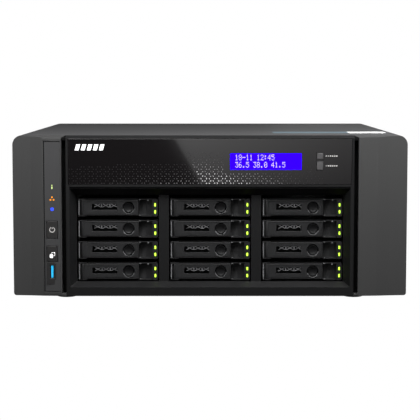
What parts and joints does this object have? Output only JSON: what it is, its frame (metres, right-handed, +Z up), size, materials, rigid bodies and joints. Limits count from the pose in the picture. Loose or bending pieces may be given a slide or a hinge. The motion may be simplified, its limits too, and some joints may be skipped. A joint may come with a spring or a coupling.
{
  "type": "network attached storage",
  "caption": "Desktop storage server with columns of lever-latched drive trays, a glossy display fascia, faceted side pillars, rear fans and a wrap-round steel cover.",
  "frame": {"origin": "middle of the footprint, on the surface the feet stand on", "axes": "+Z up, the front with its drive bays faces -Y, +X to the right seen from the front"},
  "size_m": [0.368, 0.362, 0.155],
  "materials": {
    "cover_paint": "fine-textured charcoal powder coat on steel",
    "rear_paint": "satin dark grey paint on steel",
    "base_steel": "dark grey paint on steel",
    "pillar_plastic": "fine-textured charcoal plastic",
    "strip_plastic": "satin charcoal plastic",
    "bezel_plastic": "satin near-black plastic",
    "fascia_gloss": "piano-black gloss with a faint dot pattern",
    "display_glass": "backlit blue display",
    "key_plastic": "satin dark grey plastic",
    "tray_plastic": "satin near-black plastic",
    "lever_plastic": "satin near-black plastic",
    "release_plastic": "satin black plastic",
    "cage_steel": "galvanised sheet steel",
    "board_green": "solder-masked circuit board",
    "heatsink": "extruded aluminium fins",
    "supply_steel": "galvanised sheet steel",
    "fan_black": "moulded black plastic",
    "port_metal": "nickel-plated steel shells",
    "foot_rubber": "black rubber",
    "screw_steel": "black oxide steel"
  },
  "bodies": {
    "root": {"base_pan": "base_steel", "top_cover": "cover_paint", "rear_panel": "rear_paint", "left_pillar": "pillar_plastic", "right_pillar": "pillar_plastic", "control_strip": "strip_plastic", "front_fascia": "fascia_gloss", "bay_bezel": "bezel_plastic", "drive_cage": "cage_steel", "lcd_module": "display_glass", "backplane": "board_green", "motherboard": "board_green", "cpu_cooler": "heatsink", "power_supply": "supply_steel", "fan_frames": "fan_black", "io_ports": "port_metal", "feet": "foot_rubber", "screws": "screw_steel"},
    "power_key": {"power_button": "key_plastic"},
    "copy_key": {"copy_button": "key_plastic"},
    "enter_key": {"enter_button": "key_plastic"},
    "select_key": {"select_button": "key_plastic"},
    "fan_left": {"fan_rotor_left": "fan_black"},
    "fan_right": {"fan_rotor_right": "fan_black"},
    "tray_1": {"drive_tray_1": "tray_plastic"},
    "lever_1": {"tray_lever_1": "lever_plastic"},
    "release_1": {"tray_button_1": "release_plastic"},
    "tray_2": {"drive_tray_2": "tray_plastic"},
    "lever_2": {"tray_lever_2": "lever_plastic"},
    "release_2": {"tray_button_2": "release_plastic"},
    "tray_3": {"drive_tray_3": "tray_plastic"},
    "lever_3": {"tray_lever_3": "lever_plastic"},
    "release_3": {"tray_button_3": "release_plastic"},
    "tray_4": {"drive_tray_4": "tray_plastic"},
    "lever_4": {"tray_lever_4": "lever_plastic"},
    "release_4": {"tray_button_4": "release_plastic"},
    "tray_5": {"drive_tray_5": "tray_plastic"},
    "lever_5": {"tray_lever_5": "lever_plastic"},
    "release_5": {"tray_button_5": "release_plastic"},
    "tray_6": {"drive_tray_6": "tray_plastic"},
    "lever_6": {"tray_lever_6": "lever_plastic"},
    "release_6": {"tray_button_6": "release_plastic"},
    "tray_7": {"drive_tray_7": "tray_plastic"},
    "lever_7": {"tray_lever_7": "lever_plastic"},
    "release_7": {"tray_button_7": "release_plastic"},
    "tray_8": {"drive_tray_8": "tray_plastic"},
    "lever_8": {"tray_lever_8": "lever_plastic"},
    "release_8": {"tray_button_8": "release_plastic"},
    "tray_9": {"drive_tray_9": "tray_plastic"},
    "lever_9": {"tray_lever_9": "lever_plastic"},
    "release_9": {"tray_button_9": "release_plastic"},
    "tray_10": {"drive_tray_10": "tray_plastic"},
    "lever_10": {"tray_lever_10": "lever_plastic"},
    "release_10": {"tray_button_10": "release_plastic"},
    "tray_11": {"drive_tray_11": "tray_plastic"},
    "lever_11": {"tray_lever_11": "lever_plastic"},
    "release_11": {"tray_button_11": "release_plastic"},
    "tray_12": {"drive_tray_12": "tray_plastic"},
    "lever_12": {"tray_lever_12": "lever_plastic"},
    "release_12": {"tray_button_12": "release_plastic"}
  },
  "joints": [
    {"name": "power_press", "type": "slide", "parent": "root", "child": "power_key", "axis": [0, 1, 0], "range_m": [0, 0.001], "stiffness_N_per_m": 300, "springref_m": -0.0012},
    {"name": "copy_press", "type": "slide", "parent": "root", "child": "copy_key", "axis": [0, 1, 0], "range_m": [0, 0.001], "stiffness_N_per_m": 300, "springref_m": -0.0012},
    {"name": "enter_press", "type": "slide", "parent": "root", "child": "enter_key", "axis": [0, 1, 0], "range_m": [0, 0.0008], "stiffness_N_per_m": 300, "springref_m": -0.0012},
    {"name": "select_press", "type": "slide", "parent": "root", "child": "select_key", "axis": [0, 1, 0], "range_m": [0, 0.0008], "stiffness_N_per_m": 300, "springref_m": -0.0012},
    {"name": "fan_left_spin", "type": "hinge", "parent": "root", "child": "fan_left", "pos_m": [-0.0635, 0.163, 0.0965], "axis": [0, 1, 0], "continuous": true},
    {"name": "fan_right_spin", "type": "hinge", "parent": "root", "child": "fan_right", "pos_m": [0.0305, 0.163, 0.0965], "axis": [0, 1, 0], "continuous": true},
    {"name": "tray_1_slide", "type": "slide", "parent": "root", "child": "tray_1", "axis": [0, -1, 0], "range_m": [0, 0.11]},
    {"name": "lever_1_swing", "type": "hinge", "parent": "tray_1", "child": "lever_1", "pos_m": [-0.1188, -0.1689, 0.08715], "axis": [0, 0, -1], "range_deg": [0, 80]},
    {"name": "release_1_press", "type": "slide", "parent": "lever_1", "child": "release_1", "axis": [0, 1, 0], "range_m": [0, 0.0014], "stiffness_N_per_m": 200, "springref_m": -0.001},
    {"name": "tray_2_slide", "type": "slide", "parent": "root", "child": "tray_2", "axis": [0, -1, 0], "range_m": [0, 0.11]},
    {"name": "lever_2_swing", "type": "hinge", "parent": "tray_2", "child": "lever_2", "pos_m": [-0.0324, -0.1689, 0.08715], "axis": [0, 0, -1], "range_deg": [0, 80]},
    {"name": "release_2_press", "type": "slide", "parent": "lever_2", "child": "release_2", "axis": [0, 1, 0], "range_m": [0, 0.0014], "stiffness_N_per_m": 200, "springref_m": -0.001},
    {"name": "tray_3_slide", "type": "slide", "parent": "root", "child": "tray_3", "axis": [0, -1, 0], "range_m": [0, 0.11]},
    {"name": "lever_3_swing", "type": "hinge", "parent": "tray_3", "child": "lever_3", "pos_m": [0.054, -0.1689, 0.08715], "axis": [0, 0, -1], "range_deg": [0, 80]},
    {"name": "release_3_press", "type": "slide", "parent": "lever_3", "child": "release_3", "axis": [0, 1, 0], "range_m": [0, 0.0014], "stiffness_N_per_m": 200, "springref_m": -0.001},
    {"name": "tray_4_slide", "type": "slide", "parent": "root", "child": "tray_4", "axis": [0, -1, 0], "range_m": [0, 0.11]},
    {"name": "lever_4_swing", "type": "hinge", "parent": "tray_4", "child": "lever_4", "pos_m": [-0.1188, -0.1689, 0.0671], "axis": [0, 0, -1], "range_deg": [0, 80]},
    {"name": "release_4_press", "type": "slide", "parent": "lever_4", "child": "release_4", "axis": [0, 1, 0], "range_m": [0, 0.0014], "stiffness_N_per_m": 200, "springref_m": -0.001},
    {"name": "tray_5_slide", "type": "slide", "parent": "root", "child": "tray_5", "axis": [0, -1, 0], "range_m": [0, 0.11]},
    {"name": "lever_5_swing", "type": "hinge", "parent": "tray_5", "child": "lever_5", "pos_m": [-0.0324, -0.1689, 0.0671], "axis": [0, 0, -1], "range_deg": [0, 80]},
    {"name": "release_5_press", "type": "slide", "parent": "lever_5", "child": "release_5", "axis": [0, 1, 0], "range_m": [0, 0.0014], "stiffness_N_per_m": 200, "springref_m": -0.001},
    {"name": "tray_6_slide", "type": "slide", "parent": "root", "child": "tray_6", "axis": [0, -1, 0], "range_m": [0, 0.11]},
    {"name": "lever_6_swing", "type": "hinge", "parent": "tray_6", "child": "lever_6", "pos_m": [0.054, -0.1689, 0.0671], "axis": [0, 0, -1], "range_deg": [0, 80]},
    {"name": "release_6_press", "type": "slide", "parent": "lever_6", "child": "release_6", "axis": [0, 1, 0], "range_m": [0, 0.0014], "stiffness_N_per_m": 200, "springref_m": -0.001},
    {"name": "tray_7_slide", "type": "slide", "parent": "root", "child": "tray_7", "axis": [0, -1, 0], "range_m": [0, 0.11]},
    {"name": "lever_7_swing", "type": "hinge", "parent": "tray_7", "child": "lever_7", "pos_m": [-0.1188, -0.1689, 0.04705], "axis": [0, 0, -1], "range_deg": [0, 80]},
    {"name": "release_7_press", "type": "slide", "parent": "lever_7", "child": "release_7", "axis": [0, 1, 0], "range_m": [0, 0.0014], "stiffness_N_per_m": 200, "springref_m": -0.001},
    {"name": "tray_8_slide", "type": "slide", "parent": "root", "child": "tray_8", "axis": [0, -1, 0], "range_m": [0, 0.11]},
    {"name": "lever_8_swing", "type": "hinge", "parent": "tray_8", "child": "lever_8", "pos_m": [-0.0324, -0.1689, 0.04705], "axis": [0, 0, -1], "range_deg": [0, 80]},
    {"name": "release_8_press", "type": "slide", "parent": "lever_8", "child": "release_8", "axis": [0, 1, 0], "range_m": [0, 0.0014], "stiffness_N_per_m": 200, "springref_m": -0.001},
    {"name": "tray_9_slide", "type": "slide", "parent": "root", "child": "tray_9", "axis": [0, -1, 0], "range_m": [0, 0.11]},
    {"name": "lever_9_swing", "type": "hinge", "parent": "tray_9", "child": "lever_9", "pos_m": [0.054, -0.1689, 0.04705], "axis": [0, 0, -1], "range_deg": [0, 80]},
    {"name": "release_9_press", "type": "slide", "parent": "lever_9", "child": "release_9", "axis": [0, 1, 0], "range_m": [0, 0.0014], "stiffness_N_per_m": 200, "springref_m": -0.001},
    {"name": "tray_10_slide", "type": "slide", "parent": "root", "child": "tray_10", "axis": [0, -1, 0], "range_m": [0, 0.11]},
    {"name": "lever_10_swing", "type": "hinge", "parent": "tray_10", "child": "lever_10", "pos_m": [-0.1188, -0.1689, 0.027], "axis": [0, 0, -1], "range_deg": [0, 80]},
    {"name": "release_10_press", "type": "slide", "parent": "lever_10", "child": "release_10", "axis": [0, 1, 0], "range_m": [0, 0.0014], "stiffness_N_per_m": 200, "springref_m": -0.001},
    {"name": "tray_11_slide", "type": "slide", "parent": "root", "child": "tray_11", "axis": [0, -1, 0], "range_m": [0, 0.11]},
    {"name": "lever_11_swing", "type": "hinge", "parent": "tray_11", "child": "lever_11", "pos_m": [-0.0324, -0.1689, 0.027], "axis": [0, 0, -1], "range_deg": [0, 80]},
    {"name": "release_11_press", "type": "slide", "parent": "lever_11", "child": "release_11", "axis": [0, 1, 0], "range_m": [0, 0.0014], "stiffness_N_per_m": 200, "springref_m": -0.001},
    {"name": "tray_12_slide", "type": "slide", "parent": "root", "child": "tray_12", "axis": [0, -1, 0], "range_m": [0, 0.11]},
    {"name": "lever_12_swing", "type": "hinge", "parent": "tray_12", "child": "lever_12", "pos_m": [0.054, -0.1689, 0.027], "axis": [0, 0, -1], "range_deg": [0, 80]},
    {"name": "release_12_press", "type": "slide", "parent": "lever_12", "child": "release_12", "axis": [0, 1, 0], "range_m": [0, 0.0014], "stiffness_N_per_m": 200, "springref_m": -0.001}
  ]
}
